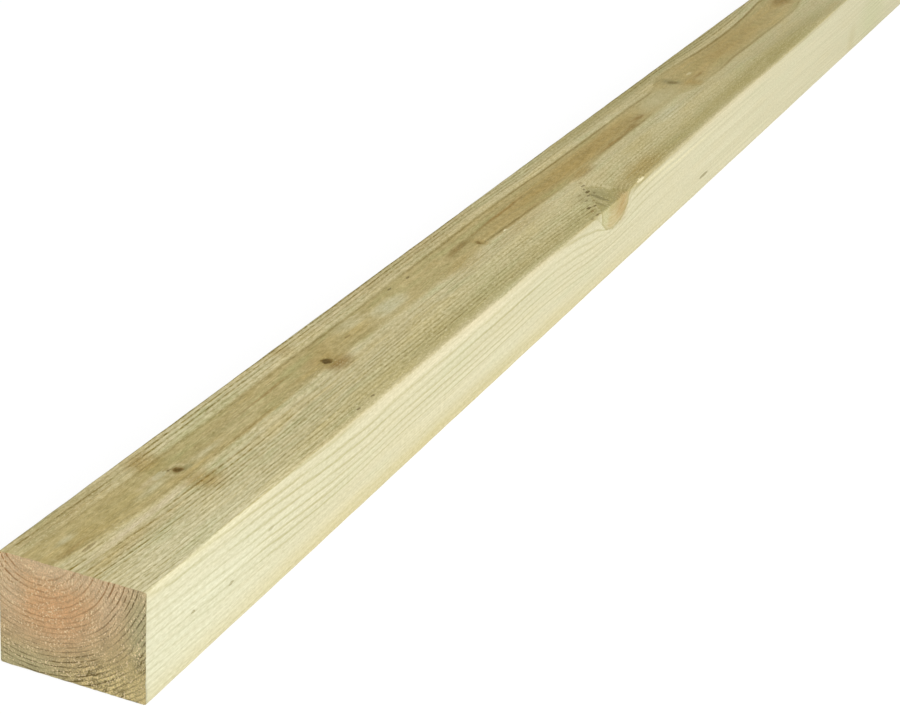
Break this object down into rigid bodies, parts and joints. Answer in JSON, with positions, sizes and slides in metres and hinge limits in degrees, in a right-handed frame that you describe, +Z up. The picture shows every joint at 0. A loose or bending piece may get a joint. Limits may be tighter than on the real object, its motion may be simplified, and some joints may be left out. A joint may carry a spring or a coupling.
{
  "type": "wooden batten",
  "caption": "Straight length of rough-sawn, pressure-treated softwood batten with a rectangular section, square-cut ends and eased long edges, for nailing or screwing to.",
  "frame": {"origin": "centre of the batten's lower face, on the surface that it lies on", "axes": "+Y along the length, away from the end that the picture shows; +X across the width, towards the side with the slight wane; +Z up, through the thickness"},
  "size_m": [0.05, 1.8, 0.038],
  "materials": {
    "wood": "rough sawn, pressure treated, matt"
  },
  "bodies": {
    "root": {"batten": "wood"}
  },
  "joints": []
}
